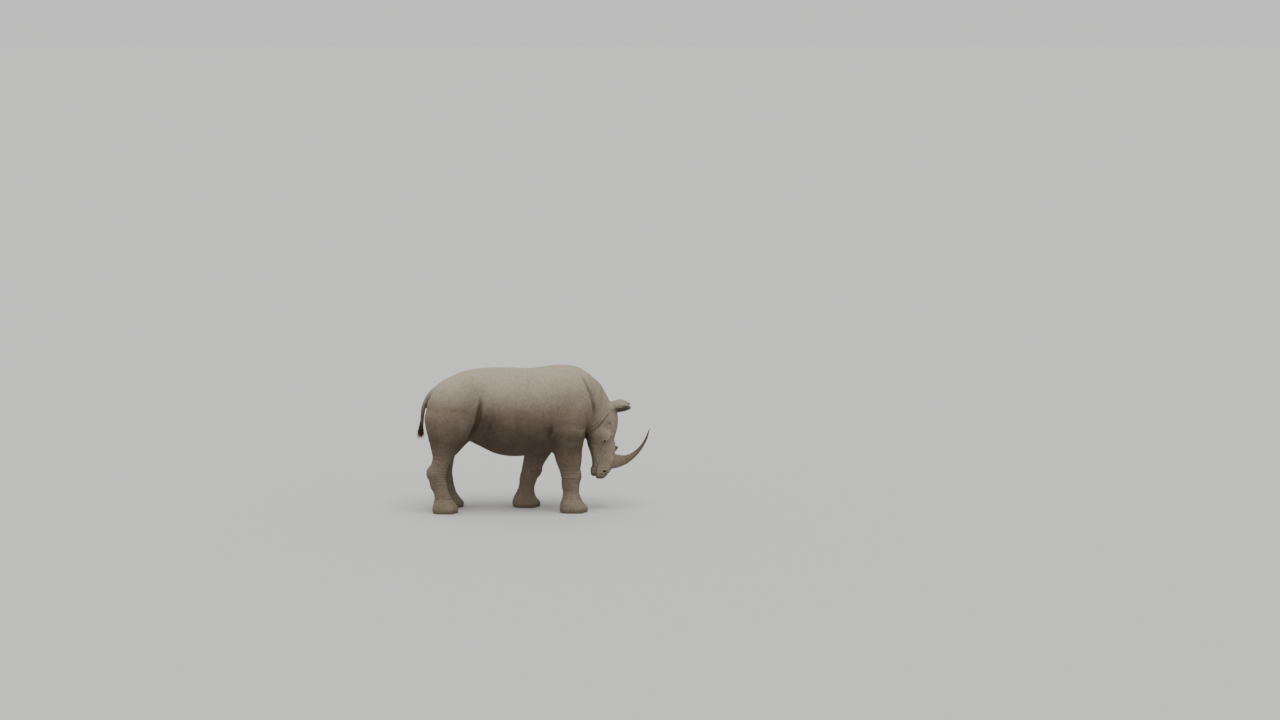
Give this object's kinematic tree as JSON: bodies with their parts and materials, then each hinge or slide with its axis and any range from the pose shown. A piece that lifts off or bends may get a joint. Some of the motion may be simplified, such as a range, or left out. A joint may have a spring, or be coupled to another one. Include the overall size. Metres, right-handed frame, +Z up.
{
  "type": "rhinoceros",
  "caption": "Life-size white rhinoceros cow standing in mid stride, head lowered to graze, with a long curved front horn and a short rear horn.",
  "frame": {"origin": "middle of the bounding box, at the level of the soles", "axes": "+Z up, -Y the way she faces, +X towards her left side"},
  "size_m": [0.9554, 2.6696, 1.6839],
  "materials": {
    "hide": "matte, dusty, warm grey-brown",
    "horn": "fibrous keratin, dull, smoother towards the tip",
    "nail": "dull, dusty keratin",
    "eye": "wet, dark brown",
    "hair": "coarse dark bristles"
  },
  "bodies": {
    "root": {"ear_left": "hide", "ear_right": "hide", "eye_left": "eye", "eye_right": "eye", "foreleg_left_foot": "hide", "foreleg_left_lower": "hide", "foreleg_left_upper": "hide", "foreleg_right_foot": "hide", "foreleg_right_lower": "hide", "foreleg_right_upper": "hide", "head": "hide", "hindleg_left_foot": "hide", "hindleg_left_lower": "hide", "hindleg_left_upper": "hide", "hindleg_right_foot": "hide", "hindleg_right_lower": "hide", "hindleg_right_upper": "hide", "horn_front": "horn", "horn_rear": "horn", "lower_jaw": "hide", "muzzle": "hide", "nail_foreleg_left_inner": "nail", "nail_foreleg_left_middle": "nail", "nail_foreleg_left_outer": "nail", "nail_foreleg_right_inner": "nail", "nail_foreleg_right_middle": "nail", "nail_foreleg_right_outer": "nail", "nail_hindleg_left_inner": "nail", "nail_hindleg_left_middle": "nail", "nail_hindleg_left_outer": "nail", "nail_hindleg_right_inner": "nail", "nail_hindleg_right_middle": "nail", "nail_hindleg_right_outer": "nail", "neck": "hide", "tail": "hide", "tail_tuft": "hair", "trunk": "hide"}
  },
  "joints": []
}
